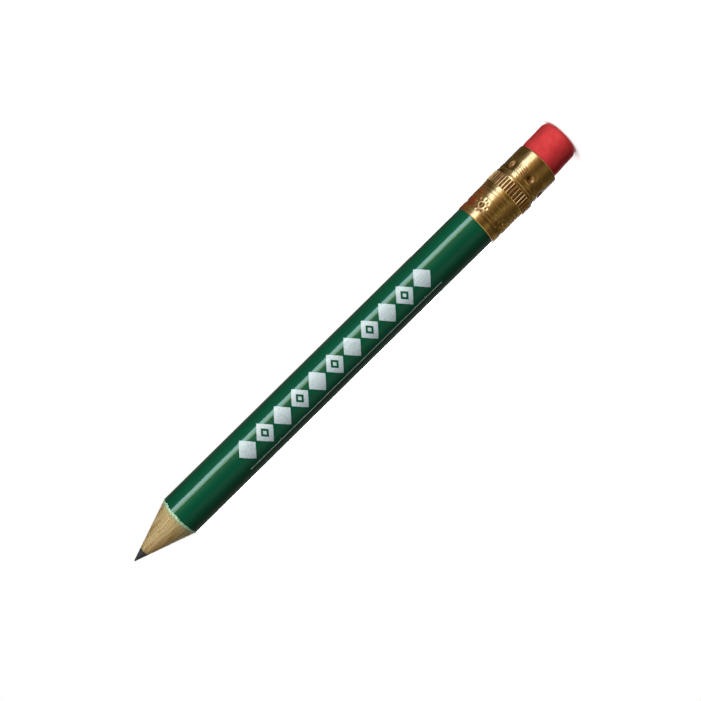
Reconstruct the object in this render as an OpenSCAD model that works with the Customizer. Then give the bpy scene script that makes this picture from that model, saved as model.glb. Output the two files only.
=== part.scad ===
// A short round pencil with an eraser, of the kind used on a golf course.
// The pencil stands on its eraser. Z runs along its axis, from the eraser's flat end at z = 0
// up to the sharpened point. Its front is towards -Y.
//
// The casing is two grooved slats of wood glued round the lead. The lacquer covers the wood
// between the sharpened cone and the ferrule. The ferrule is a thin brass tube, dimpled into
// the wood at one end and into the eraser at the other, with a fluted band round its middle.

/* [Whole pencil] */
// Length from the eraser's end to the tip of the lead
overall_len = 92; // [70:1:190]
// Diameter over the lacquer
barrel_d = 7.14; // [7.1:0.01:7.2]

/* [Point] */
// Diameter of the lead
lead_d = 1.7; // [1.6:0.1:3]
// Half of the cone's angle
point_half_angle = 19.2; // [14:0.1:26]
// Radius that the tip is worn to
tip_r = 0.1; // [0.05:0.05:0.5]

/* [Wood and lacquer] */
// Thickness of all the coats of lacquer together
lacquer_t = 0.16; // [0.1:0.01:0.18]
// Length of wood inside the ferrule
tenon_len = 6.9; // [5.5:0.1:6.9]

/* [Eraser] */
// Diameter of the eraser
eraser_d = 6.76; // [6.6:0.02:6.8]
// Length of eraser that stands out of the ferrule
eraser_proud = 5.2; // [2:0.1:8]
// Length of eraser inside the ferrule
eraser_seat = 6.4; // [5:0.1:6.5]
// Radius round the edge of the eraser's end
eraser_edge_r = 0.7; // [0.3:0.05:1]
// Height that wear has taken off the end, below where that round would have met it
eraser_wear = 0.08; // [0.02:0.01:0.12]

/* [Ferrule] */
// Length of the ferrule
ferrule_len = 13.6; // [13.4:0.1:14]
// Outside diameter of its plain lips
ferrule_d = 7.46; // [7.4:0.01:7.5]
// Outside diameter of the fluted band
band_d = 7.8; // [7.7:0.02:8]
// Width of the fluted band
band_w = 1.84; // [1.5:0.02:2]
// Number of flutes round the band
flute_count = 40; // [30:1:44]
// Depth of each flute
flute_depth = 0.14; // [0.08:0.01:0.16]
// Depth of each dimple
dimple_depth = 0.32; // [0.2:0.02:0.36]
// Radius of the punch that makes a dimple
dimple_r = 0.6; // [0.5:0.05:0.7]
// Number of dimples into the eraser
eraser_dimples = 6; // [3:1:6]
// Number of dimples into the wood
wood_dimples = 5; // [3:1:6]

/* [Hidden] */
$fn = 96;

// Heights along the pencil
ferrule_base = eraser_proud;
ferrule_top = ferrule_base + ferrule_len;
eraser_top = ferrule_base + eraser_seat;
wood_base = ferrule_top - tenon_len;
bore_step = (eraser_top + wood_base) / 2;

// Radii
barrel_r = barrel_d / 2;
wood_r = barrel_r - lacquer_t;
lead_r = lead_d / 2;
eraser_r = eraser_d / 2;
ferrule_r = ferrule_d / 2;
band_r = band_d / 2;

// The point: a cone that runs into the ball of the worn tip, which it touches all round.
apex_z = overall_len - tip_r + tip_r / sin(point_half_angle);
tip_ball_z = overall_len - tip_r;
tip_joint_z = tip_ball_z + tip_r * sin(point_half_angle);
tip_joint_r = tip_r * cos(point_half_angle);
cone_base_r = barrel_r + 1;
cone_base_z = apex_z - cone_base_r / tan(point_half_angle);

// The ferrule's rolled rings, as heights above its edge on the eraser, with the amount that
// each stands out of the plain lip (positive) or is sunk into it (negative).
band_base = 5.57;
ring_r = 0.5;
rings = [
    [4.35, 0.06], [4.95, -0.07],
    [8.55, -0.02], [9.15, 0.06], [9.6, -0.04], [10.1, 0.05], [10.65, -0.07], [11.2, 0.03],
    [11.95, -0.09]
];
band_edge_r = 0.12;
lip_edge_r = 0.16;
wood_lip_edge_r = 0.07;
flute_r = 0.22;

// Dimples: height of each row above the ferrule's edge on the eraser, and the turn of its
// first dimple about Z.
eraser_row_z = 3.4;
eraser_row_turn = -104.5;
wood_row_z = 11.2;
wood_row_turn = -64;
dimple_wall = 0.24;
dimple_centre = ferrule_r + dimple_r - dimple_depth;

// Small overlap that keeps cuts clear of the faces they open
eps = 0.01;

// All that a sharpener leaves of a bar round the axis
module sharpened() {
    below = 1;
    union() {
        translate([0, 0, -below]) cylinder(r = cone_base_r, h = cone_base_z + below);
        translate([0, 0, cone_base_z])
            cylinder(r1 = cone_base_r, r2 = tip_joint_r, h = tip_joint_z - cone_base_z);
        translate([0, 0, tip_ball_z]) sphere(r = tip_r);
    }
}

// A round bar on the axis, from one height to another
module bar(r, from, to) {
    translate([0, 0, from]) cylinder(r = r, h = to - from);
}

// One row of balls round the ferrule, where the crimping punches reach
module punch_row(r, row_z, count, turn) {
    for (i = [0 : count - 1])
        rotate([0, 0, turn + i * 360 / count])
            translate([dimple_centre, 0, ferrule_base + row_z]) sphere(r = r);
}

module eraser_punches(r) {
    punch_row(r, eraser_row_z, eraser_dimples, eraser_row_turn);
}

module wood_punches(r) {
    punch_row(r, wood_row_z, wood_dimples, wood_row_turn);
}

// The graphite core, from the end of the wood in the ferrule to the worn tip
module lead_core() {
    color("#3a3a3c")
        intersection() {
            bar(lead_r, wood_base, overall_len + 1);
            sharpened();
        }
}

// Both slats as one grooved bar, sharpened, with the ferrule's dimples pressed in
module casing() {
    difference() {
        intersection() {
            bar(wood_r, wood_base, overall_len);
            sharpened();
        }
        bar(lead_r, wood_base - 1, overall_len + 1);
        wood_punches(dimple_r + dimple_wall);
    }
}

// The half of the casing on one side of the glue line: side is -1 in front and 1 behind
module slat(side) {
    half = barrel_d;
    color("#c9ae7c")
        intersection() {
            casing();
            translate([-half, side < 0 ? -half : 0, 0]) cube([2 * half, half, overall_len + 1]);
        }
}

// The film of lacquer, cut back to a bevel by the sharpener
module lacquer_coat() {
    color("#0b5236")
        difference() {
            intersection() {
                bar(barrel_r, ferrule_top, overall_len);
                sharpened();
            }
            bar(wood_r, ferrule_top - 1, overall_len + 1);
        }
}

// Section of the ferrule's wall with its rings and its raised band, before the flutes
module ferrule_section() {
    difference() {
        union() {
            // wall, with the edges of both lips rounded
            translate([lead_r, lip_edge_r])
                square([ferrule_r - lead_r, ferrule_len - lip_edge_r - wood_lip_edge_r]);
            translate([lead_r, 0]) square([ferrule_r - lead_r - lip_edge_r, ferrule_len / 2]);
            translate([ferrule_r - lip_edge_r, lip_edge_r]) circle(r = lip_edge_r);
            translate([lead_r, ferrule_len / 2])
                square([ferrule_r - lead_r - wood_lip_edge_r, ferrule_len / 2]);
            translate([ferrule_r - wood_lip_edge_r, ferrule_len - wood_lip_edge_r])
                circle(r = wood_lip_edge_r);
            // raised rings
            for (ring = rings)
                if (ring[1] > 0)
                    translate([ferrule_r + ring[1] - ring_r, ring[0]]) circle(r = ring_r);
            // raised band with rounded edges
            translate([lead_r, band_base]) square([band_r - band_edge_r - lead_r, band_w]);
            translate([lead_r, band_base + band_edge_r])
                square([band_r - lead_r, band_w - 2 * band_edge_r]);
            for (z = [band_base + band_edge_r, band_base + band_w - band_edge_r])
                translate([band_r - band_edge_r, z]) circle(r = band_edge_r);
        }
        // sunk rings
        for (ring = rings)
            if (ring[1] < 0)
                translate([ferrule_r + ring[1] + ring_r, ring[0]]) circle(r = ring_r);
        // bore, a little tighter on the eraser than on the wood
        translate([0, -1]) square([eraser_r, ferrule_len + 2]);
        translate([0, bore_step - ferrule_base]) square([wood_r, ferrule_len]);
    }
}

// The flutes across the raised band
module flutes() {
    run_out = 0.05;
    for (i = [0 : flute_count - 1])
        rotate([0, 0, i * 360 / flute_count])
            translate([band_r - flute_depth + flute_r, 0, ferrule_base + band_base - run_out])
                cylinder(r = flute_r, h = band_w + 2 * run_out);
}

// The brass ferrule, crimped on with two rows of dimples
module ferrule() {
    color("#b98a3c")
        difference() {
            union() {
                translate([0, 0, ferrule_base]) rotate_extrude() ferrule_section();
                // metal pushed inwards behind each dimple
                intersection() {
                    eraser_punches(dimple_r + dimple_wall);
                    bar(eraser_r + eps, ferrule_base, bore_step);
                }
                intersection() {
                    wood_punches(dimple_r + dimple_wall);
                    bar(wood_r + eps, bore_step, ferrule_top);
                }
            }
            eraser_punches(dimple_r);
            wood_punches(dimple_r);
            flutes();
        }
}

// The eraser, with a rounded edge to its end, and the dimples pressed into its seat
module eraser_plug() {
    edge_z = eraser_edge_r - eraser_wear;
    color("#cf3d40")
        difference() {
            rotate_extrude() {
                translate([0, edge_z]) square([eraser_r, eraser_top - edge_z]);
                intersection() {
                    union() {
                        square([eraser_r - eraser_edge_r, edge_z + eps]);
                        translate([eraser_r - eraser_edge_r, edge_z]) circle(r = eraser_edge_r);
                    }
                    square([eraser_r, eraser_top]);
                }
            }
            eraser_punches(dimple_r + dimple_wall);
        }
}

lead_core();
slat(-1);  // front_slat
slat(1);  // back_slat
lacquer_coat();
ferrule();
eraser_plug();
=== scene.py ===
import math
from collections import namedtuple

import bpy
import numpy as np
from mathutils import Matrix, Vector, noise


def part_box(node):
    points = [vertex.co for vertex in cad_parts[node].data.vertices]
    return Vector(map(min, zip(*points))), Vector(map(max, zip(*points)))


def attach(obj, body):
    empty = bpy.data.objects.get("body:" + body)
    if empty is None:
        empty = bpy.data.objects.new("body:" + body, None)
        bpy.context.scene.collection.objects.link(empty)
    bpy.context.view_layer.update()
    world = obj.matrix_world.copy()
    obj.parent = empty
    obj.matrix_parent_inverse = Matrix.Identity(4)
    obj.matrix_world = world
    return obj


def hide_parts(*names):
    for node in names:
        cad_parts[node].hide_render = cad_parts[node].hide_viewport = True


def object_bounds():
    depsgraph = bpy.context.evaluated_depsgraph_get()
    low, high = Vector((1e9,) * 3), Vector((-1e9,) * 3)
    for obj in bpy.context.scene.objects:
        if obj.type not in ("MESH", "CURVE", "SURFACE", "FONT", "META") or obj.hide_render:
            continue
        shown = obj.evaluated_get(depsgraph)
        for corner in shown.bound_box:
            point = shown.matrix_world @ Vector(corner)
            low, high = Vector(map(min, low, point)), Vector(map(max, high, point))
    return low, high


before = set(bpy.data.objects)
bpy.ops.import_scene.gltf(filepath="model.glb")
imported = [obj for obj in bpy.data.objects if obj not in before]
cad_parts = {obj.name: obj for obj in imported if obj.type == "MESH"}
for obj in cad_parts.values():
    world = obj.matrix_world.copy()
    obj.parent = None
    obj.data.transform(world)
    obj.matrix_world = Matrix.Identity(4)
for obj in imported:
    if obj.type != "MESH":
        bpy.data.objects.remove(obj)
cad_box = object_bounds()
MM = 0.001


# ---------------------------------------------------------------- The lead
# A rod of graphite and clay, extruded, fired and waxed. The sharpener cut it to one cone with the
# wood, and a little writing has worn a small flat on one side of its tip.

lead_low, lead_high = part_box("lead_core")
lead_r = lead_high.x
tip_z = lead_high.z
point_angle = math.radians(19.2)
tip_r = 0.1 * MM
apex_z = tip_z - tip_r + tip_r / math.sin(point_angle)


def cone_z(r):
    """The height at which the sharpened cone has that radius."""
    return apex_z - r / math.tan(point_angle)


def cone_r(z):
    """The radius of the sharpened cone at that height."""
    return (apex_z - z) * math.tan(point_angle)


def steps(start, end, spacing):
    """Even steps from start to end, both included, no further apart than the spacing."""
    return np.linspace(start, end, 2 + int(abs(end - start) / spacing)).tolist()


def turned(name, outline, around, sweep=2 * math.pi):
    """A turned piece: a point is extruded along the outline of (radius, height), then spun round Z.

    A positive sweep goes from +X towards the front, which is -Y."""
    bpy.ops.object.select_all(action="DESELECT")
    bpy.ops.mesh.primitive_plane_add(size=MM)
    piece = bpy.context.object
    piece.name = piece.data.name = name
    bpy.ops.object.mode_set(mode="EDIT")
    bpy.ops.mesh.merge(type="CENTER")
    bpy.ops.transform.translate(value=(outline[0][0], 0, outline[0][1]))
    for (r0, z0), (r1, z1) in zip(outline, outline[1:]):
        bpy.ops.mesh.extrude_region_move(TRANSFORM_OT_translate={"value": (r1 - r0, 0, z1 - z0)})
    bpy.ops.mesh.select_all(action="SELECT")
    bpy.ops.mesh.spin(steps=around, angle=sweep, center=(0, 0, 0), axis=(0, 0, 1))
    bpy.ops.mesh.select_all(action="SELECT")
    bpy.ops.mesh.remove_doubles(threshold=0.0002 * MM)
    bpy.ops.mesh.normals_make_consistent(inside=False)
    bpy.ops.object.mode_set(mode="OBJECT")
    return piece


def points_of(piece):
    """The places of a piece's vertices, as rows of an array."""
    flat = np.empty(3 * len(piece.data.vertices))
    piece.data.vertices.foreach_get("co", flat)
    return flat.reshape(-1, 3)


def polar(points):
    """The angle, radius and height of each point."""
    return np.arctan2(points[:, 1], points[:, 0]), np.hypot(points[:, 0], points[:, 1]), points[:, 2]


TRUE_EDGE = math.radians(35)


def reshape(piece, angle, radius, height):
    """Moves each vertex to its new angle, radius and height, and smooths all but the true edges."""
    spots = np.stack([radius * np.cos(angle), radius * np.sin(angle), height], axis=1)
    piece.data.vertices.foreach_set("co", spots.ravel())
    piece.data.update()
    bpy.ops.object.select_all(action="DESELECT")
    piece.select_set(True)
    bpy.context.view_layer.objects.active = piece
    bpy.ops.object.shade_smooth_by_angle(angle=TRUE_EDGE)


def rough(points, size):
    """Smooth noise from -1 to 1 at each point, whose lumps have that size along x, y and z."""
    return np.array([noise.noise(Vector(p)) for p in points / np.array(size)])


tip_start_z = tip_z - tip_r + tip_r * math.sin(point_angle)
tip_arc = [
    (tip_r * math.cos(a), tip_z - tip_r + tip_r * math.sin(a))
    for a in steps(point_angle, math.radians(80), math.radians(12))
]
lead_outline = [(0, lead_low.z), (lead_r, lead_low.z)]
lead_outline += [(cone_r(z), z) for z in steps(cone_z(lead_r), tip_start_z, 0.05 * MM)][:-1]
lead_outline += tip_arc + [(0, tip_z)]
lead_facets = 144
lead = turned("lead_point", lead_outline, lead_facets)
points = points_of(lead)
angle, radius, height = polar(points)
# the blade leaves fine rings round the cone and the grain of the lead leaves pits, and both fade
# out at the wood and at the middle of the tip
ring_depth = 0.007 * MM
pit_depth = 0.008 * MM
fade = 0.2 * MM
exposed = np.clip((height - cone_z(lead_r)) / fade, 0, 1) * np.clip(radius / fade, 0, 1)
blade_rings = rough(points, (3 * MM, 3 * MM, 0.09 * MM))
pits = rough(points, (0.16 * MM, 0.16 * MM, 0.22 * MM))
radius = radius + exposed * (ring_depth * blade_rings + pit_depth * pits)
# writing at a slant leaves a flat on one side of the tip, at a distance from the tip's centre
wear_normal = np.array([0.55, -0.35, 0.76])
wear_normal /= np.linalg.norm(wear_normal)
flat_distance = 0.6 * tip_r
worn_away = 0.9
worn = np.stack([radius * np.cos(angle), radius * np.sin(angle), height], axis=1)
past_flat = (worn - np.array([0, 0, tip_z - tip_r])) @ wear_normal - flat_distance
worn -= np.clip(past_flat, 0, None)[:, None] * wear_normal * worn_away
reshape(lead, *polar(worn))


def rgb(code):
    """An sRGB hex colour as the linear colour that a shader takes."""
    channels = [int(code[i : i + 2], 16) / 255 for i in (1, 3, 5)]
    return (*[c / 12.92 if c <= 0.04045 else ((c + 0.055) / 1.055) ** 2.4 for c in channels], 1)


def node(owner, kind, inputs=None, stops=(), **settings):
    """Adds a node. An input is a value, or the socket that feeds it. Stops are a ramp's colours."""
    made = owner.node_tree.nodes.new(kind)
    for name, value in settings.items():
        setattr(made, name, value)
    for name, value in (inputs or {}).items():
        if isinstance(value, bpy.types.NodeSocket):
            owner.node_tree.links.new(value, made.inputs[name])
        else:
            made.inputs[name].default_value = value
    for place, code in stops[2:]:
        made.color_ramp.elements.new(place)
    for element, (place, code) in zip(made.color_ramp.elements if stops else (), stops):
        element.position = place
        element.color = rgb(code)
    return made


def new_material(name):
    """An empty material, its shader, and the place on the object that its patterns read."""
    made = bpy.data.materials.new(name)
    made.use_nodes = True
    shader = made.node_tree.nodes["Principled BSDF"]
    place = node(made, "ShaderNodeTexCoord").outputs["Object"]
    return made, shader, place


def per(x, y, z):
    """A pattern's scale for features of that size, in mm, along each axis."""
    return (1 / (x * MM), 1 / (y * MM), 1 / (z * MM))


# Graphite: dark grey and a little metallic in its shine, with rings left by the sharpener's blade.
graphite, shader, place = new_material("graphite")
shader.inputs["Metallic"].default_value = 0.35
grain_place = node(graphite, "ShaderNodeMapping", {"Vector": place, "Scale": per(0.3, 0.3, 0.12)})
mottle = node(graphite, "ShaderNodeTexNoise", {"Vector": grain_place.outputs[0], "Scale": 1, "Detail": 4})
tone = node(
    graphite,
    "ShaderNodeValToRGB",
    {"Fac": mottle.outputs["Fac"]},
    stops=((0.3, "#232325"), (0.55, "#343436"), (0.75, "#4a4a4d")),
)
polish = node(
    graphite,
    "ShaderNodeMapRange",
    {"Value": mottle.outputs["Fac"], "To Min": 0.36, "To Max": 0.58},
)
ring_place = node(graphite, "ShaderNodeMapping", {"Vector": place, "Scale": per(2.5, 2.5, 0.07)})
ring = node(graphite, "ShaderNodeTexNoise", {"Vector": ring_place.outputs[0], "Scale": 1, "Detail": 2})
relief = node(
    graphite,
    "ShaderNodeBump",
    {"Height": ring.outputs["Fac"], "Strength": 0.6, "Distance": 0.02 * MM},
)
graphite.node_tree.links.new(tone.outputs["Color"], shader.inputs["Base Color"])
graphite.node_tree.links.new(polish.outputs["Result"], shader.inputs["Roughness"])
graphite.node_tree.links.new(relief.outputs["Normal"], shader.inputs["Normal"])
lead.data.materials.append(graphite)
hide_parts("lead_core")
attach(lead, "root")


# ---------------------------------------------------------------- The two slats
# Basswood, grooved for the lead and glued face to face round it, then milled round. The sharpener
# has cut the cone across the fibres, which stand up a little. The glue line shows at each side.

slat_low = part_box("front_slat")[0]
tenon_r = -slat_low.y
wood_base_z = slat_low.z
barrel_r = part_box("lacquer_coat")[1].x
film_t = 0.12 * MM
wood_r = barrel_r - film_t
ferrule_low, ferrule_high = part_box("ferrule")
eraser_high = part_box("eraser_plug")[1]

# The crimping dimples go through the ferrule into the wood and the eraser. A row of them has its
# rise above the ferrule's lower edge, their number, the turn of the first, and the radius and the
# depth of the ball-ended punches. The dimples inside are wider by the metal between.
DimpleRow = namedtuple("DimpleRow", "rise count turn punch_r depth")
wood_row = DimpleRow(11.2 * MM, 5, math.radians(-64), 0.5 * MM, 0.25 * MM)
eraser_row = DimpleRow(3.4 * MM, 6, math.radians(-104.5), 0.76 * MM, 0.35 * MM)
lip_r = 3.73 * MM
wall_t = 0.24 * MM
dimple_rim = 0.04 * MM


def around_row(angle, height, row):
    """How far each point is from the nearest dimple of a row: along the surface across and up."""
    pitch = 2 * math.pi / row.count
    across = ((angle - row.turn + pitch / 2) % pitch - pitch / 2) * lip_r
    return across, height - ferrule_low.z - row.rise


def dent(angle, height, row, skin_r, wall=0):
    """How deep a row's punches, behind a wall of sheet metal, press in a skin of that radius."""
    ball_r = row.punch_r + wall
    away = np.hypot(*around_row(angle, height, row))
    sink = np.sqrt(np.clip(ball_r**2 - away**2, 0, None)) - (lip_r + row.punch_r - row.depth - skin_r)
    return np.where(away < ball_r, (sink + np.hypot(sink, dimple_rim)) / 2, 0)


slat_facets = 220
# the sharpener tears fibres up and its blade chatters, and the glue line is a little sunk
fibre_rise = 0.016 * MM
chatter_depth = 0.005 * MM
seam_depth = 0.03 * MM
seam_half = 0.05 * MM


def slat(name, side):
    """Half of the casing: side is 1 in front of the glue line and -1 behind it."""
    row_z = ferrule_low.z + wood_row.rise
    cone_start_z = cone_z(wood_r)
    groove_top_z = cone_z(lead_r)
    outline = [(lead_r, wood_base_z), (tenon_r, wood_base_z)]
    outline += [(tenon_r, z) for z in steps(row_z - 1 * MM, row_z + 1 * MM, 0.14 * MM)]
    outline += [(tenon_r, ferrule_high.z), (wood_r, ferrule_high.z), (wood_r, cone_start_z - 0.8 * MM)]
    outline += [(cone_r(z), z) for z in steps(cone_start_z, groove_top_z, 0.1 * MM)]
    outline += [(lead_r, wood_base_z)]
    piece = turned(name, outline, slat_facets, side * math.pi)
    bpy.ops.object.mode_set(mode="EDIT")
    bpy.ops.mesh.select_all(action="SELECT")
    bpy.ops.mesh.fill_holes(sides=0)
    bpy.ops.mesh.normals_make_consistent(inside=False)
    bpy.ops.object.mode_set(mode="OBJECT")
    points = points_of(piece)
    angle, radius, height = polar(points)
    outside = radius > lead_r + 0.05 * MM
    radius = radius - outside * dent(angle, height, wood_row, tenon_r, wall_t)
    fade = 0.3 * MM
    cut = np.clip((height - cone_start_z) / fade, 0, 1) * outside
    cut *= np.clip((groove_top_z - height) / fade, 0, 1)
    # the back slat has the grain of another place in the board
    board = points + (0 if side > 0 else 5 * MM)
    fibres = rough(board, (0.14 * MM, 1.2 * MM, 4 * MM))
    fibres += rough(board, (0.4 * MM, 2.4 * MM, 8 * MM))
    chatter = rough(points, (3 * MM, 3 * MM, 0.35 * MM))
    seam = np.exp(-((points[:, 1] / seam_half) ** 2))
    radius = radius + cut * (fibre_rise * fibres + chatter_depth * chatter - seam_depth * seam)
    reshape(piece, angle, radius, height)
    return piece


front_slat = slat("front_slat_wood", 1)
back_slat = slat("back_slat_wood", -1)

# Basswood: pale and even, with fine fibres along the pencil and short darker pores. It is grey near
# the lead, where the blade dragged graphite over the wood, stained green near the lacquer, and dark
# along the glue line.
basswood, shader, place = new_material("basswood")
grain_turn = (0, 0, math.radians(9))
shader.inputs["Roughness"].default_value = 0.62
shader.inputs["Specular IOR Level"].default_value = 0.3
# the back slat reads its grain at another place in the board
split = node(basswood, "ShaderNodeSeparateXYZ", {"Vector": place})
behind = node(basswood, "ShaderNodeMath", {0: split.outputs["Y"], 1: 0}, operation="GREATER_THAN")
other_board = node(
    basswood,
    "ShaderNodeVectorMath",
    {0: (4.3 * MM, 7 * MM, 31 * MM), "Scale": behind.outputs[0]},
    operation="SCALE",
)
board = node(
    basswood,
    "ShaderNodeVectorMath",
    {0: place, 1: other_board.outputs[0]},
    operation="ADD",
)
fibre_place = node(
    basswood,
    "ShaderNodeMapping",
    {"Vector": board.outputs[0], "Rotation": grain_turn, "Scale": per(0.17, 1.5, 9)},
)
fibre = node(
    basswood,
    "ShaderNodeTexNoise",
    {"Vector": fibre_place.outputs[0], "Scale": 1, "Detail": 5, "Roughness": 0.68},
)
fibre_tone = node(
    basswood,
    "ShaderNodeValToRGB",
    {"Fac": fibre.outputs["Fac"]},
    stops=((0.3, "#957746"), (0.42, "#bba26c"), (0.55, "#cfb785"), (0.72, "#e3d0a6")),
)
band_place = node(
    basswood,
    "ShaderNodeMapping",
    {"Vector": board.outputs[0], "Rotation": grain_turn, "Scale": per(0.85, 5, 26)},
)
band = node(basswood, "ShaderNodeTexNoise", {"Vector": band_place.outputs[0], "Scale": 1, "Detail": 2})
band_tone = node(
    basswood,
    "ShaderNodeValToRGB",
    {"Fac": band.outputs["Fac"]},
    stops=((0.35, "#dccdae"), (0.5, "#ffffff"), (0.68, "#f4dfc2")),
)
warm = node(
    basswood,
    "ShaderNodeMix",
    {0: 0.85, 6: fibre_tone.outputs["Color"], 7: band_tone.outputs["Color"]},
    data_type="RGBA",
    blend_type="MULTIPLY",
)
pore_place = node(basswood, "ShaderNodeMapping", {"Vector": place, "Scale": per(0.2, 0.9, 2.6)})
pore = node(basswood, "ShaderNodeTexVoronoi", {"Vector": pore_place.outputs[0], "Scale": 1})
pore_mask = node(
    basswood,
    "ShaderNodeMapRange",
    {
        "Value": pore.outputs["Distance"],
        "From Min": 0.06,
        "From Max": 0.2,
        "To Min": 0.55,
        "To Max": 0,
    },
)
pored = node(
    basswood,
    "ShaderNodeMix",
    {0: pore_mask.outputs["Result"], 6: warm.outputs[2], 7: rgb("#7d5c31")},
    data_type="RGBA",
)
near_lead = node(
    basswood,
    "ShaderNodeMapRange",
    {
        "Value": split.outputs["Z"],
        "From Min": cone_z(lead_r) - 0.75 * MM,
        "From Max": cone_z(lead_r) + 0.1 * MM,
        "To Max": 0.75,
    },
    interpolation_type="SMOOTHSTEP",
)
smear = node(
    basswood,
    "ShaderNodeMath",
    {0: near_lead.outputs["Result"], 1: fibre.outputs["Fac"]},
    operation="MULTIPLY",
)
smeared = node(
    basswood,
    "ShaderNodeMix",
    {0: smear.outputs[0], 6: pored.outputs[2], 7: rgb("#4b4539")},
    data_type="RGBA",
)
near_coat = node(
    basswood,
    "ShaderNodeMapRange",
    {
        "Value": split.outputs["Z"],
        "From Min": cone_z(wood_r) + 0.05 * MM,
        "From Max": cone_z(wood_r) + 0.7 * MM,
        "To Min": 0.5,
        "To Max": 0,
    },
)
stained = node(
    basswood,
    "ShaderNodeMix",
    {0: near_coat.outputs["Result"], 6: smeared.outputs[2], 7: rgb("#a9ad78")},
    data_type="RGBA",
)
from_seam = node(basswood, "ShaderNodeMath", {0: split.outputs["Y"]}, operation="ABSOLUTE")
seam_mask = node(
    basswood,
    "ShaderNodeMapRange",
    {
        "Value": from_seam.outputs[0],
        "From Min": 0.02 * MM,
        "From Max": 0.07 * MM,
        "To Min": 0.6,
        "To Max": 0,
    },
)
glued = node(
    basswood,
    "ShaderNodeMix",
    {0: seam_mask.outputs["Result"], 6: stained.outputs[2], 7: rgb("#8f7448")},
    data_type="RGBA",
)
grain_bump = node(
    basswood,
    "ShaderNodeBump",
    {"Height": fibre.outputs["Fac"], "Strength": 0.8, "Distance": 0.04 * MM},
)
basswood.node_tree.links.new(glued.outputs[2], shader.inputs["Base Color"])
basswood.node_tree.links.new(grain_bump.outputs["Normal"], shader.inputs["Normal"])
for piece, cad_node in ((front_slat, "front_slat"), (back_slat, "back_slat")):
    piece.data.materials.append(basswood)
    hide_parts(cad_node)
    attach(piece, "root")


# ---------------------------------------------------------------- The lacquer
# Dipped coats of green lacquer over a pale primer. The sharpener cut them back to a bevel, where
# the primer shows, and its blade broke small teeth out of the gloss coat along the edge.

lacquer_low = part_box("lacquer_coat")[0]
shoulder_z = cone_z(barrel_r)
plain_to_z = shoulder_z - 0.45 * MM
gloss_t = 0.03 * MM
coat_facets = 540
coat_outline = [(barrel_r, z) for z in steps(lacquer_low.z, plain_to_z, 1.5 * MM)]
coat_outline += [(barrel_r, shoulder_z - 0.2 * MM), (barrel_r, shoulder_z)]
coat_outline += [(r, cone_z(r)) for r in steps(barrel_r - gloss_t, wood_r, 0.04 * MM)]
coat_outline += [(wood_r, lacquer_low.z), (barrel_r, lacquer_low.z)]
lacquer = turned("lacquer_barrel", coat_outline, coat_facets)
points = points_of(lacquer)
angle, radius, height = polar(points)
gloss = radius > barrel_r - 0.01 * MM
edge = gloss & (height > shoulder_z - 0.01 * MM)
# the blade cut the edge of the gloss back by this much, in teeth with a few larger chips
cut_back = 0.06 * MM
tooth_depth = 0.13 * MM
chip_depth = 0.3 * MM
teeth = rough(points, (0.2 * MM, 0.2 * MM, 9 * MM))
teeth += 0.7 * rough(points, (0.09 * MM, 0.09 * MM, 9 * MM))
chips = np.clip(rough(points + 3 * MM, (0.7 * MM, 0.7 * MM, 9 * MM)) - 0.15, 0, 1)
height = height - edge * (cut_back + tooth_depth * teeth + chip_depth * chips)
# the chalky bevel crumbles up and down and in and out
crumble_up = 0.08 * MM
crumble_out = 0.02 * MM
bevel = ~gloss & (height > shoulder_z + 0.05 * MM)
height = height + bevel * crumble_up * rough(points, (0.22 * MM, 0.22 * MM, 0.1 * MM))
radius = radius + bevel * crumble_out * rough(points, (0.16 * MM, 0.16 * MM, 0.1 * MM))
# long shallow hollows follow the wood
hollow_depth = 0.006 * MM
hollows = hollow_depth * rough(points, (2.2 * MM, 2.2 * MM, 14 * MM))
radius = radius + np.where(gloss, np.clip(hollows, None, 0), 0)
reshape(lacquer, angle, radius, height)

# Nitrocellulose lacquer: deep green under a hard gloss that follows the wood in long faint waves.
green, shader, place = new_material("green_lacquer")
shader.inputs["Roughness"].default_value = 0.11
shader.inputs["IOR"].default_value = 1.5
shader.inputs["Specular Tint"].default_value = (0.8, 1, 1, 1)
flow_place = node(green, "ShaderNodeMapping", {"Vector": place, "Scale": per(1.3, 1.3, 11)})
flow = node(
    green,
    "ShaderNodeTexNoise",
    {"Vector": flow_place.outputs[0], "Scale": 1, "Detail": 3, "Roughness": 0.55},
)
green_tone = node(
    green,
    "ShaderNodeValToRGB",
    {"Fac": flow.outputs["Fac"]},
    stops=((0.3, "#005036"), (0.6, "#00583a"), (0.8, "#005f3e")),
)
flow_bump = node(
    green,
    "ShaderNodeBump",
    {"Height": flow.outputs["Fac"], "Strength": 1, "Distance": 0.012 * MM},
)
green.node_tree.links.new(green_tone.outputs["Color"], shader.inputs["Base Color"])
green.node_tree.links.new(flow_bump.outputs["Normal"], shader.inputs["Normal"])

# Primer: pale mint and chalky where it is cut through.
primer, shader, place = new_material("pale_primer")
shader.inputs["Roughness"].default_value = 0.75
crumb_place = node(primer, "ShaderNodeMapping", {"Vector": place, "Scale": per(0.14, 0.14, 0.3)})
crumb = node(
    primer,
    "ShaderNodeTexNoise",
    {"Vector": crumb_place.outputs[0], "Scale": 1, "Detail": 4},
)
primer_tone = node(
    primer,
    "ShaderNodeValToRGB",
    {"Fac": crumb.outputs["Fac"]},
    stops=((0.3, "#7db48c"), (0.45, "#a9d3ab"), (0.6, "#c9e3c4"), (0.75, "#eef5e8")),
)
crumb_bump = node(
    primer,
    "ShaderNodeBump",
    {"Height": crumb.outputs["Fac"], "Strength": 0.8, "Distance": 0.03 * MM},
)
primer.node_tree.links.new(primer_tone.outputs["Color"], shader.inputs["Base Color"])
primer.node_tree.links.new(crumb_bump.outputs["Normal"], shader.inputs["Normal"])

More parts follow.
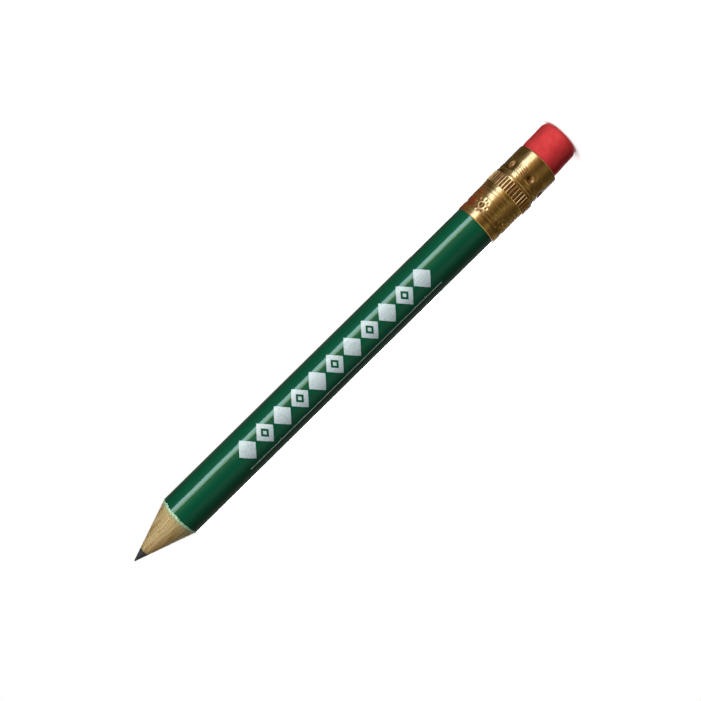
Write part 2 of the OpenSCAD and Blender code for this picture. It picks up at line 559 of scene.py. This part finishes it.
lacquer.data.materials.append(green)
lacquer.data.materials.append(primer)
for face in lacquer.data.polygons:
    on_bevel = face.center.z > plain_to_z and face.normal.z > 0.02
    face.material_index = 1 if on_bevel else 0
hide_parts("lacquer_coat")
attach(lacquer, "root")


# ---------------------------------------------------------------- The print
# Pale ink rolled on over the lacquer: a row of diamonds, solid and open by turns, beside a thin
# rule. The film stands about a hundredth of a millimetre proud of the gloss.

print_from_z = 28.7 * MM
print_to_z = 69.1 * MM
diamond_count = 11
diamond_pitch = (print_to_z - print_from_z) / diamond_count
diamond_half_w = 0.46 * diamond_pitch
diamond_half_h = 1.98 * MM
hole_share = 0.45
dot_share = 0.2
rule_x = -2.75 * MM
rule_w = 0.16 * MM
ink_t = 0.012 * MM
front = -math.pi / 2


def diamond(centre_z, half_w, half_h, hole=0):
    """A flat diamond of ink across x and z, with a diamond hole of that share of its size."""
    bpy.ops.object.select_all(action="DESELECT")
    bpy.ops.mesh.primitive_plane_add(size=math.sqrt(2), rotation=(math.pi / 2, math.pi / 4, 0))
    piece = bpy.context.object
    bpy.ops.object.transform_apply()
    bpy.ops.object.mode_set(mode="EDIT")
    bpy.ops.transform.resize(value=(half_h, 1, half_w))
    if hole:
        # an inset is measured square to the slanting edges, so it is less than along the width
        bpy.ops.mesh.inset(thickness=half_w * (1 - hole) * 0.75)
        bpy.ops.mesh.delete(type="FACE")
    bpy.ops.mesh.select_all(action="SELECT")
    bpy.ops.transform.translate(value=(0, 0, centre_z))
    bpy.ops.mesh.quads_convert_to_tris()
    bpy.ops.object.mode_set(mode="OBJECT")
    return piece


def rule(centre_x, width):
    """A thin straight rule as long as the row."""
    bpy.ops.object.select_all(action="DESELECT")
    bpy.ops.mesh.primitive_plane_add(size=1, rotation=(math.pi / 2, 0, 0))
    piece = bpy.context.object
    bpy.ops.object.transform_apply()
    bpy.ops.object.mode_set(mode="EDIT")
    bpy.ops.transform.resize(value=(width, 1, print_to_z - print_from_z))
    bpy.ops.transform.translate(value=(centre_x, 0, (print_from_z + print_to_z) / 2))
    bpy.ops.object.mode_set(mode="OBJECT")
    return piece


shapes = [rule(rule_x, rule_w)]
for i in range(diamond_count):
    centre_z = print_from_z + (i + 0.5) * diamond_pitch
    is_open = i % 2 == 1
    hole = hole_share if is_open else 0
    shapes.append(diamond(centre_z, diamond_half_w, diamond_half_h, hole))
    if is_open:
        shapes.append(diamond(centre_z, dot_share * diamond_half_w, dot_share * diamond_half_h))
bpy.ops.object.select_all(action="DESELECT")
for shape in shapes:
    shape.select_set(True)
bpy.context.view_layer.objects.active = shapes[0]
bpy.ops.object.join()
ink = bpy.context.object
ink.name = ink.data.name = "barrel_print"
# slices across x let the flat film wrap round the barrel
slice_reach = 3 * MM
slice_w = 0.12 * MM
bpy.ops.object.mode_set(mode="EDIT")
for x in steps(-slice_reach, slice_reach, slice_w):
    bpy.ops.mesh.select_all(action="SELECT")
    bpy.ops.mesh.bisect(plane_co=(x, 0, 0), plane_no=(1, 0, 0))
bpy.ops.object.mode_set(mode="OBJECT")
flat = points_of(ink)
reshape(ink, front + flat[:, 0] / barrel_r, np.full(len(flat), barrel_r), flat[:, 2])
bpy.ops.object.modifier_add(type="SOLIDIFY")
thicken = ink.modifiers[-1]
thicken.thickness = 2 * ink_t
thicken.offset = 0
bpy.ops.object.modifier_apply(modifier=thicken.name)
bpy.ops.object.shade_smooth_by_angle(angle=TRUE_EDGE)

# Printing ink: an even pale grey-white, less glossy than the lacquer, with pinholes of green.
ink_white, shader, place = new_material("printing_ink")
shader.inputs["Roughness"].default_value = 0.38
speck_place = node(ink_white, "ShaderNodeMapping", {"Vector": place, "Scale": per(0.22, 0.22, 0.5)})
speck = node(
    ink_white,
    "ShaderNodeTexNoise",
    {"Vector": speck_place.outputs[0], "Scale": 1, "Detail": 4, "Roughness": 0.6},
)
ink_tone = node(
    ink_white,
    "ShaderNodeValToRGB",
    {"Fac": speck.outputs["Fac"]},
    stops=((0.2, "#789e8e"), (0.33, "#b3c7ca"), (0.5, "#c8d7db"), (0.8, "#d8e3e6")),
)
ink_white.node_tree.links.new(ink_tone.outputs["Color"], shader.inputs["Base Color"])
ink.data.materials.append(ink_white)
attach(ink, "root")


# ---------------------------------------------------------------- The ferrule
# Thin brass tube, drawn, rolled with rings and a fluted band, and polished. It is pushed on to
# the wood and the eraser, and punches dimple it into both.

ferrule_len = ferrule_high.z - ferrule_low.z
band_r = ferrule_high.x
eraser_r = eraser_high.x
bore_step_z = (wood_base_z + eraser_high.z) / 2
band_from = 5.5 * MM
band_to = 7.42 * MM
flute_count = 40
flute_depth = 0.14 * MM
flute_r = 0.22 * MM
# rolled stretches, in mm: from and to above the lower edge, and how far the metal stands out
rolled = [(5.1, 5.6, 0.05), (7.3, 8.1, 0.085), (8.1, 11.5, 0.045)]
# rolled beads and grooves, in mm: height above the lower edge, half of the width, and rise
beads = [
    (4.35, 0.4, 0.05), (4.85, 0.22, -0.05), (8.2, 0.15, -0.045), (8.75, 0.18, -0.05),
    (9.7, 0.2, -0.05), (10.7, 0.22, -0.055), (11.85, 0.4, -0.08), (12.6, 0.3, 0.02),
]


def ramp_up(x):
    """A smooth step from 0 at x = 0 to 1 at x = 1."""
    x = np.clip(x, 0, 1)
    return x * x * (3 - 2 * x)


def stretch(h, start, end, soft):
    """1 between two heights and 0 outside them, with soft ends."""
    return ramp_up((h - start) / soft + 0.5) * ramp_up((end - h) / soft + 0.5)


def ferrule_profile(h):
    """The radius of the ferrule's outside at a height above its lower edge, before the punches."""
    r = lip_r + stretch(h, band_from, band_to, 0.08 * MM) * (band_r - lip_r)
    for start, end, rise in rolled:
        r += rise * MM * stretch(h, start * MM, end * MM, 0.2 * MM)
    for at, half, rise in beads:
        away = min(abs(h / MM - at) / half, 1)
        r += rise * MM * math.cos(away * math.pi / 2) ** 2
    return min(r, band_r)


eraser_lip_r = 0.2 * MM
wood_lip_r = 0.17 * MM
quarter = steps(0, math.pi / 2, math.radians(22))
ferrule_outline = [
    (lip_r - eraser_lip_r * (1 - math.sin(a)), eraser_lip_r * (1 - math.cos(a))) for a in quarter[:-1]
]
# the rows of vertices stand closer where the dies have pressed more into the metal: each stretch
# has its upper end and the spacing of its rows, in mm
dense_rows = (
    (2, 0.15), (4.7, 0.075), (5.4, 0.09), (5.6, 0.03), (7.32, 0.3), (7.52, 0.03), (12.5, 0.065),
)
row_heights = [eraser_lip_r]
for to, spacing in dense_rows:
    row_heights += steps(row_heights[-1], to * MM, spacing * MM)[1:]
row_heights += steps(row_heights[-1], ferrule_len - wood_lip_r, 0.15 * MM)[1:]
ferrule_outline += [(ferrule_profile(h), h) for h in row_heights]
ferrule_outline += [
    (lip_r - wood_lip_r * (1 - math.cos(a)), ferrule_len - wood_lip_r * (1 - math.sin(a)))
    for a in quarter[1:]
]
# the bore is a little wider over the tenon than over the eraser
step_h = bore_step_z - ferrule_low.z
bores = ((wood_row, tenon_r, ferrule_len, step_h), (eraser_row, eraser_r, step_h, 0))
for row, bore_r, start, end in bores:
    inside = [start] + steps(row.rise + 0.9 * MM, row.rise - 0.9 * MM, 0.18 * MM) + [end]
    ferrule_outline += [(bore_r, h) for h in inside]
ferrule_outline.append(ferrule_outline[0])
ferrule_outline = [(r, ferrule_low.z + h) for r, h in ferrule_outline]
flute_columns = 12
ferrule = turned("ferrule_brass", ferrule_outline, flute_count * flute_columns)

points = points_of(ferrule)
angle, radius, height = polar(points)
above = height - ferrule_low.z
skin = radius > (wood_r + lip_r) / 2
# flutes across the band, with the columns of vertices crowded to their walls
flute_pitch = 2 * math.pi * band_r / flute_count
flute_rim = 0.012 * MM
turns = angle * flute_count / (2 * math.pi)
in_flute = turns - np.round(turns)
crowded = (0, 0.07 * MM, 0.13 * MM, 0.175 * MM, 0.2 * MM, 0.24 * MM, flute_pitch / 2)
off_groove = np.interp(np.abs(in_flute) * flute_columns, range(len(crowded)), crowded)
angle = (np.round(turns) + np.sign(in_flute) * off_groove / flute_pitch) * 2 * math.pi / flute_count
groove = np.sqrt(np.clip(flute_r**2 - off_groove**2, 0, None)) - (flute_r - flute_depth)
groove = (groove + np.hypot(groove, flute_rim)) / 2
radius = radius - skin * groove * stretch(above, band_from, band_to, 0.06 * MM)
# the punches, which reach the bore too
for row, bore_r in ((wood_row, tenon_r), (eraser_row, eraser_r)):
    radius = radius - skin * dent(angle, height, row, lip_r)
    radius = radius - ~skin * dent(angle, height, row, bore_r, wall_t)


def faded(away, reach, most):
    """The depth of a soft dish or the height of a soft swelling, which fades out over its reach."""
    return most * np.exp(-((away / reach) ** 2))


# each dimple into the wood has a shallow dish and a ring of eight dots round it, and each one into
# the rubber a wider dish
rosette_r = 0.98 * MM
dot_turn = math.pi / 4
across, up = around_row(angle, height, wood_row)
bearing = (np.arctan2(up, across) + dot_turn / 2) % dot_turn - dot_turn / 2
away = np.hypot(across, up)
from_dot = np.hypot(away * np.cos(bearing) - rosette_r, away * np.sin(bearing))
radius = radius - skin * faded(from_dot, 0.19 * MM, 0.062 * MM)
radius = radius - skin * faded(away, 0.62 * MM, 0.045 * MM)
away = np.hypot(*around_row(angle, height, eraser_row))
radius = radius - skin * faded(away, 0.85 * MM, 0.12 * MM)
# six short slanting marks in each gap between the dimples into the rubber
mark_count = 6
mark_pitch = 0.38 * MM
mark_half = 1 * MM
mark_depth = 0.034 * MM
slant = math.radians(14)
across, up = around_row(angle + math.pi / eraser_row.count, height, eraser_row)
over = (up * math.cos(slant) + across * math.sin(slant)) / mark_pitch
marked = (np.abs(over) < mark_count / 2) * ramp_up((mark_half - np.abs(across)) / (0.3 * MM))
radius = radius - skin * marked * mark_depth * np.sin(over * math.pi) ** 2
# handling leaves thin sheet very slightly uneven
ding_depth = 0.027 * MM
dinged = rough(points, (1.6 * MM, 1.6 * MM, 1.4 * MM))
dinged += 0.2 * rough(points, (0.5 * MM, 0.5 * MM, 0.7 * MM))
radius = radius + skin * ding_depth * dinged
# the ferrule went on a little crooked, turned by this many radians about the middle of its band
crooked_turn = 0.01
tilt = crooked_turn * ((band_from + band_to) / 2 - above)
crooked = np.stack([radius * np.cos(angle) + tilt, radius * np.sin(angle), height], axis=1)
angle, radius, height = polar(crooked)
reshape(ferrule, angle, np.minimum(radius, band_r), height)

# Polished brass: bright and warm, with lines drawn round it, a brown film in the grooves and
# dimples, and a reddish, less metallic patch on the +X side near its upper end, by the wood.
brass, shader, place = new_material("polished_brass")
split = node(brass, "ShaderNodeSeparateXYZ", {"Vector": place})
flat_place = node(brass, "ShaderNodeCombineXYZ", {"X": split.outputs["X"], "Y": split.outputs["Y"]})
from_axis = node(brass, "ShaderNodeVectorMath", {0: flat_place.outputs[0]}, operation="LENGTH")
sunk = node(
    brass,
    "ShaderNodeMapRange",
    {
        "Value": from_axis.outputs["Value"],
        "From Min": lip_r - 0.11 * MM,
        "From Max": lip_r - 0.01 * MM,
        "To Min": 0.62,
        "To Max": 0,
    },
)
band_mid = ferrule_low.z + (band_from + band_to) / 2
off_band = node(brass, "ShaderNodeMath", {0: split.outputs["Z"], 1: band_mid}, operation="SUBTRACT")
off_band = node(brass, "ShaderNodeMath", {0: off_band.outputs[0]}, operation="ABSOLUTE")
on_band = node(
    brass,
    "ShaderNodeMath",
    {0: off_band.outputs[0], 1: (band_to - band_from) / 2},
    operation="LESS_THAN",
)
in_flutes = node(
    brass,
    "ShaderNodeMapRange",
    {
        "Value": from_axis.outputs["Value"],
        "From Min": band_r - 0.12 * MM,
        "From Max": band_r - 0.02 * MM,
        "To Min": 0.85,
        "To Max": 0,
    },
)
grimed = node(
    brass,
    "ShaderNodeMath",
    {0: on_band.outputs[0], 1: in_flutes.outputs["Result"], 2: sunk.outputs["Result"]},
    operation="MULTIPLY_ADD",
)
tarnish_place = node(brass, "ShaderNodeMapping", {"Vector": place, "Scale": per(0.8, 0.8, 0.7)})
tarnish = node(
    brass,
    "ShaderNodeTexNoise",
    {"Vector": tarnish_place.outputs[0], "Scale": 1, "Detail": 6, "Roughness": 0.65},
)
film = node(
    brass,
    "ShaderNodeMapRange",
    {"Value": tarnish.outputs["Fac"], "From Min": 0.42, "From Max": 0.75, "To Max": 0.4},
)
dark = node(
    brass,
    "ShaderNodeMath",
    {0: grimed.outputs[0], 1: film.outputs["Result"]},
    operation="ADD",
    use_clamp=True,
)
clean_tone = node(
    brass,
    "ShaderNodeMix",
    {0: dark.outputs[0], 6: rgb("#e6c472"), 7: rgb("#8f5c2c")},
    data_type="RGBA",
)
# the reddish patch is longer along the pencil than across, so distances along it are squashed
squash = 0.7
squashed = node(brass, "ShaderNodeVectorMath", {0: place, 1: (1, 1, squash)}, operation="MULTIPLY")
from_patch_middle = node(
    brass,
    "ShaderNodeVectorMath",
    {0: squashed.outputs[0], 1: (3.6 * MM, -1.3 * MM, squash * 16.5 * MM)},
    operation="DISTANCE",
)
red_patch = node(
    brass,
    "ShaderNodeMapRange",
    {
        "Value": from_patch_middle.outputs["Value"],
        "From Min": 1.4 * MM,
        "From Max": 2.8 * MM,
        "To Min": 0.95,
        "To Max": 0,
    },
    interpolation_type="SMOOTHSTEP",
)
uneven = node(
    brass,
    "ShaderNodeMapRange",
    {"Value": tarnish.outputs["Fac"], "From Min": 0.33, "From Max": 0.55},
)
# the reddish patch, broken up by the tarnish noise, is mixed into the colour and lowers the metallic
patch = node(
    brass,
    "ShaderNodeMath",
    {0: red_patch.outputs["Result"], 1: uneven.outputs["Result"]},
    operation="MULTIPLY",
)
metal_tone = node(
    brass,
    "ShaderNodeMix",
    {0: patch.outputs[0], 6: clean_tone.outputs[2], 7: rgb("#bb522b")},
    data_type="RGBA",
)
bare = node(brass, "ShaderNodeMapRange", {"Value": patch.outputs[0], "To Min": 1, "To Max": 0.55})
dull = node(brass, "ShaderNodeMapRange", {"Value": dark.outputs[0], "To Min": 0.23, "To Max": 0.42})
draw_place = node(brass, "ShaderNodeMapping", {"Vector": place, "Scale": per(2, 2, 0.06)})
draw = node(brass, "ShaderNodeTexNoise", {"Vector": draw_place.outputs[0], "Scale": 1, "Detail": 2})
draw_bump = node(
    brass,
    "ShaderNodeBump",
    {"Height": draw.outputs["Fac"], "Strength": 0.35, "Distance": 0.005 * MM},
)
brass.node_tree.links.new(metal_tone.outputs[2], shader.inputs["Base Color"])
brass.node_tree.links.new(bare.outputs["Result"], shader.inputs["Metallic"])
brass.node_tree.links.new(dull.outputs["Result"], shader.inputs["Roughness"])
brass.node_tree.links.new(draw_bump.outputs["Normal"], shader.inputs["Normal"])
ferrule.data.materials.append(brass)
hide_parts("ferrule")
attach(ferrule, "root")


# ---------------------------------------------------------------- The eraser
# Moulded red rubber, pushed a little crooked into the ferrule, which nips it all round. Its free
# end is flat with a soft round edge, and stands on whatever the pencil stands on.

edge_r = 1.1 * MM
flat_drop = 0.08 * MM
edge_z = edge_r - flat_drop
edge_start = math.asin(edge_z / edge_r)
proud_z = ferrule_low.z
seat_z = ferrule_low.z + eraser_row.rise
flat_r = eraser_r - edge_r + edge_r * math.cos(edge_start)
eraser_outline = [(r, 0) for r in steps(0, flat_r, 0.5 * MM)[:-1]]
eraser_outline += [
    (eraser_r - edge_r + edge_r * math.cos(a), edge_z - edge_r * math.sin(a))
    for a in steps(edge_start, 0, math.radians(6))
]
eraser_outline += [(eraser_r, z) for z in steps(edge_z, proud_z + 0.2 * MM, 0.2 * MM)[1:]]
eraser_outline += [(eraser_r, z) for z in steps(seat_z - 1 * MM, seat_z + 1 * MM, 0.16 * MM)]
eraser_outline += [(eraser_r, eraser_high.z), (0, eraser_high.z)]
eraser_facets = 216
eraser = turned("eraser_rubber", eraser_outline, eraser_facets)
points = points_of(eraser)
angle, radius, height = polar(points)
outside = radius > eraser_r - 0.02 * MM
radius = radius - outside * dent(angle, height, eraser_row, eraser_r, wall_t)
# the ferrule's lip nips the rubber, which swells below it, and the moulded skin is a little lumpy
nip = faded(height - proud_z, 0.22 * MM, 0.03 * MM)
swell = faded(height - proud_z + 1.1 * MM, 0.8 * MM, 0.04 * MM)
lump_height = 0.01 * MM
lumps = rough(points, (1.9 * MM, 1.9 * MM, 1.6 * MM))
lumps += 0.4 * rough(points, (0.5 * MM, 0.5 * MM, 0.5 * MM))
free = (radius > 0.5 * eraser_r) & (height < proud_z) & (height > 0)
radius = radius + free * (swell - nip + lump_height * lumps)
# it sits off the axis at the lip, and further off towards its end
off_at_lip = 0.28 * MM
off_more = 0.2 * MM
pushed = off_at_lip * ramp_up((proud_z + 0.8 * MM - height) / (1.2 * MM))
pushed = pushed + off_more * np.clip(1 - height / proud_z, 0, 1)
leaning = np.stack([radius * np.cos(angle) + pushed, radius * np.sin(angle), height], axis=1)
reshape(eraser, *polar(leaning))

# Eraser rubber: matte and finely grained, its red a little uneven.
rubber, shader, place = new_material("eraser_rubber")
shader.inputs["Roughness"].default_value = 0.8
shader.inputs["Specular IOR Level"].default_value = 0.25
cloud_place = node(rubber, "ShaderNodeMapping", {"Vector": place, "Scale": per(1.3, 1.3, 1.3)})
cloud = node(
    rubber,
    "ShaderNodeTexNoise",
    {"Vector": cloud_place.outputs[0], "Scale": 1, "Detail": 5, "Roughness": 0.65},
)
rubber_tone = node(
    rubber,
    "ShaderNodeValToRGB",
    {"Fac": cloud.outputs["Fac"]},
    stops=((0.3, "#cb3134"), (0.5, "#d8373a"), (0.7, "#df4446")),
)
grit_place = node(rubber, "ShaderNodeMapping", {"Vector": place, "Scale": per(0.12, 0.12, 0.12)})
grit = node(
    rubber,
    "ShaderNodeTexNoise",
    {"Vector": grit_place.outputs[0], "Scale": 1, "Detail": 3},
)
grit_bump = node(
    rubber,
    "ShaderNodeBump",
    {"Height": grit.outputs["Fac"], "Strength": 0.6, "Distance": 0.02 * MM},
)
rubber.node_tree.links.new(rubber_tone.outputs["Color"], shader.inputs["Base Color"])
rubber.node_tree.links.new(grit_bump.outputs["Normal"], shader.inputs["Normal"])
eraser.data.materials.append(rubber)
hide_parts("eraser_plug")
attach(eraser, "root")


# ---------------------------------------------------------------- The studio
# A white table with long soft strip lights round the pencil. The strips, which show in the gloss,
# and the washes, which light the colours, are separate lamps, so each can be set on its own.

mid_z = (cad_box[0][2] + cad_box[1][2]) / 2

bpy.ops.object.select_all(action="DESELECT")
bpy.ops.mesh.primitive_plane_add(size=12)
floor = bpy.context.object
floor.name = "floor"
floor.visible_glossy = False
floor.visible_diffuse = False
floor.visible_shadow = False
table, shader, place = new_material("white_table")
shader.inputs["Base Color"].default_value = rgb("#f4f4f4")
shader.inputs["Roughness"].default_value = 1
shader.inputs["Specular IOR Level"].default_value = 0
floor.data.materials.append(table)


def group(name, *members):
    """A collection of the pieces that a lamp may fall on."""
    made = bpy.data.collections.new(name)
    for member in members:
        made.objects.link(member)
    return made


def strip(name, azimuth, spread, distance, length, radiance, colour, in_gloss_of=None):
    """A vertical strip of light, facing the pencil: azimuth and spread are degrees seen from it.

    It shows in the gloss of one group of pieces, or else it is a wash, which lights the colours
    of all of them and shows in no gloss."""
    turn = math.radians(azimuth)
    place = (distance * math.sin(turn), -distance * math.cos(turn), mid_z)
    bpy.ops.object.light_add(type="AREA", location=place, rotation=(math.pi / 2, 0, turn))
    made = bpy.context.object
    made.name = made.data.name = name
    made.data.shape = "RECTANGLE"
    made.data.size = 2 * distance * math.tan(math.radians(spread / 2))
    made.data.size_y = length
    # an area lamp's radiance is its energy over four times its area
    made.data.energy = 4 * made.data.size * length * radiance
    made.data.color = rgb(colour)[:3]
    made.visible_camera = False
    made.visible_glossy = in_gloss_of is not None
    made.visible_diffuse = in_gloss_of is None
    made.light_linking.receiver_collection = in_gloss_of


strip("front_wash", 22, 12, 0.014, 0.26, 5.5, "#ffffff")
strip("rear_wash", 165, 60, 0.3, 0.6, 1.4, "#ffffff")
strip("side_wash", -128, 40, 0.3, 0.6, 0.8, "#ffffff")

# Brass mirrors far more of a lamp than lacquer does, so its strips are separate and dimmer. They
# are bluish, because brass turns what it mirrors yellow.
not_metal = group("not_metal", lead, front_slat, back_slat, lacquer, ink, eraser)
strip("cool_strip", 46.8, 15.6, 0.4, 0.56, 6.7, "#e4fcff", not_metal)
strip("warm_strip", 35, 8, 0.4, 0.56, 4.2, "#fff1c8", not_metal)
strip("rear_strip", 200, 14, 0.4, 0.56, 7, "#f4faff", not_metal)
metal = group("metal", ferrule)
strip("metal_cool_strip", 46.8, 15.6, 0.4, 0.56, 4.25, "#a3b7ff", metal)
strip("metal_warm_strip", 34.5, 9, 0.4, 0.56, 2.95, "#b9c8ff", metal)
strip("metal_rear_strip", 200, 14, 0.4, 0.56, 4, "#b2c1ff", metal)

# A lamp overhead falls on the table alone, where the pencil leaves its soft shadow.
bpy.ops.object.light_add(type="SUN", location=(0, 0, 0.5))
table_lamp = bpy.context.object
table_lamp.name = table_lamp.data.name = "table_lamp"
table_lamp.data.energy = 3.6
table_lamp.data.angle = math.radians(50)
table_lamp.visible_glossy = False
table_lamp.light_linking.receiver_collection = group("table_only", floor)

# The room: white to the camera and, behind the pencil, to the gloss. The gloss also sees a dim
# brown room, with a pale card on the left of the camera, grey wings on both sides of the white
# backdrop and beyond the strips, and warm light that the table throws back beside the strips. The
# ramp runs once round, from the camera through -X. The colours of the pieces get a dim grey light.
room_front = "#7a6850"
room_brown = "#5a4e40"
pale_card = "#9a8c7c"
wing_grey = "#86827a"
backdrop = "#ffffff"
table_bounce = "#c8a074"
studio = bpy.data.worlds.new("studio")
bpy.context.scene.world = studio
studio.use_nodes = True
studio.cycles.sampling_method = "NONE"
studio.node_tree.nodes.clear()
direction = node(studio, "ShaderNodeTexCoord").outputs["Generated"]
parts = node(studio, "ShaderNodeSeparateXYZ", {"Vector": direction})
bearing = node(
    studio,
    "ShaderNodeMath",
    {0: parts.outputs["X"], 1: parts.outputs["Y"]},
    operation="ARCTAN2",
)
turn_share = node(
    studio,
    "ShaderNodeMapRange",
    {"Value": bearing.outputs[0], "From Min": -math.pi, "From Max": math.pi},
)
walls = node(
    studio,
    "ShaderNodeValToRGB",
    {"Fac": turn_share.outputs["Result"]},
    stops=(
        (0.0, room_front), (0.05, room_brown), (0.11, pale_card), (0.18, room_brown),
        (0.25, room_brown), (0.34, wing_grey), (0.49, wing_grey), (0.495, backdrop),
        (0.505, backdrop), (0.51, wing_grey), (0.66, room_brown), (0.76, room_brown),
        (0.82, wing_grey), (0.93, table_bounce), (1.0, room_front),
    ),
)
# the room is darker part of the way up and down, and pale at its ceiling and floor
steepness = node(studio, "ShaderNodeMath", {0: parts.outputs["Z"]}, operation="ABSOLUTE")
shade = node(
    studio,
    "ShaderNodeValToRGB",
    {"Fac": steepness.outputs[0]},
    stops=((0.16, "#ffffff"), (0.34, "#8c867c"), (0.48, "#8c867c"), (0.62, "#ffffff")),
)
banded = node(
    studio,
    "ShaderNodeMix",
    {0: 1, 6: walls.outputs["Color"], 7: shade.outputs["Color"]},
    data_type="RGBA",
    blend_type="MULTIPLY",
)
pale = node(
    studio,
    "ShaderNodeMapRange",
    {"Value": steepness.outputs[0], "From Min": 0.56, "From Max": 0.8},
)
ends = node(
    studio,
    "ShaderNodeMix",
    {0: parts.outputs["Z"], 6: rgb("#bfb5a3"), 7: rgb("#fff6e4")},
    data_type="RGBA",
)
room = node(
    studio,
    "ShaderNodeMix",
    {0: pale.outputs["Result"], 6: banded.outputs[2], 7: ends.outputs[2]},
    data_type="RGBA",
)
path = node(studio, "ShaderNodeLightPath")
to_gloss = node(
    studio,
    "ShaderNodeMix",
    {0: path.outputs["Is Glossy Ray"], 6: rgb("#343434"), 7: room.outputs[2]},
    data_type="RGBA",
)
to_camera = node(
    studio,
    "ShaderNodeMix",
    {0: path.outputs["Is Camera Ray"], 6: to_gloss.outputs[2], 7: rgb("#ffffff")},
    data_type="RGBA",
)
sky = node(studio, "ShaderNodeBackground", {"Color": to_camera.outputs[2], "Strength": 1})
node(studio, "ShaderNodeOutputWorld", {"Surface": sky.outputs[0]})

# The camera looks level at the printed side, and is rolled so that the pencil leans with its point
# down to the left.
lean = math.radians(44.53)
aim = Vector((-0.22 * MM, 0, 45.8 * MM))
camera_distance = 175 * MM
bpy.ops.object.camera_add(location=aim - camera_distance * Vector((0, 1, 0)))
camera = bpy.context.object
camera.name = "camera"
roll = math.atan2(-math.cos(lean), -math.sin(lean))
level = Matrix.Rotation(math.pi / 2, 3, "X")
camera.rotation_euler = (level @ Matrix.Rotation(roll, 3, "Z")).to_euler()
camera.data.lens = 58.7
camera.data.sensor_width = 36
camera.data.clip_start = 1 * MM
bpy.context.scene.camera = camera
bpy.context.scene.view_settings.view_transform = "Standard"
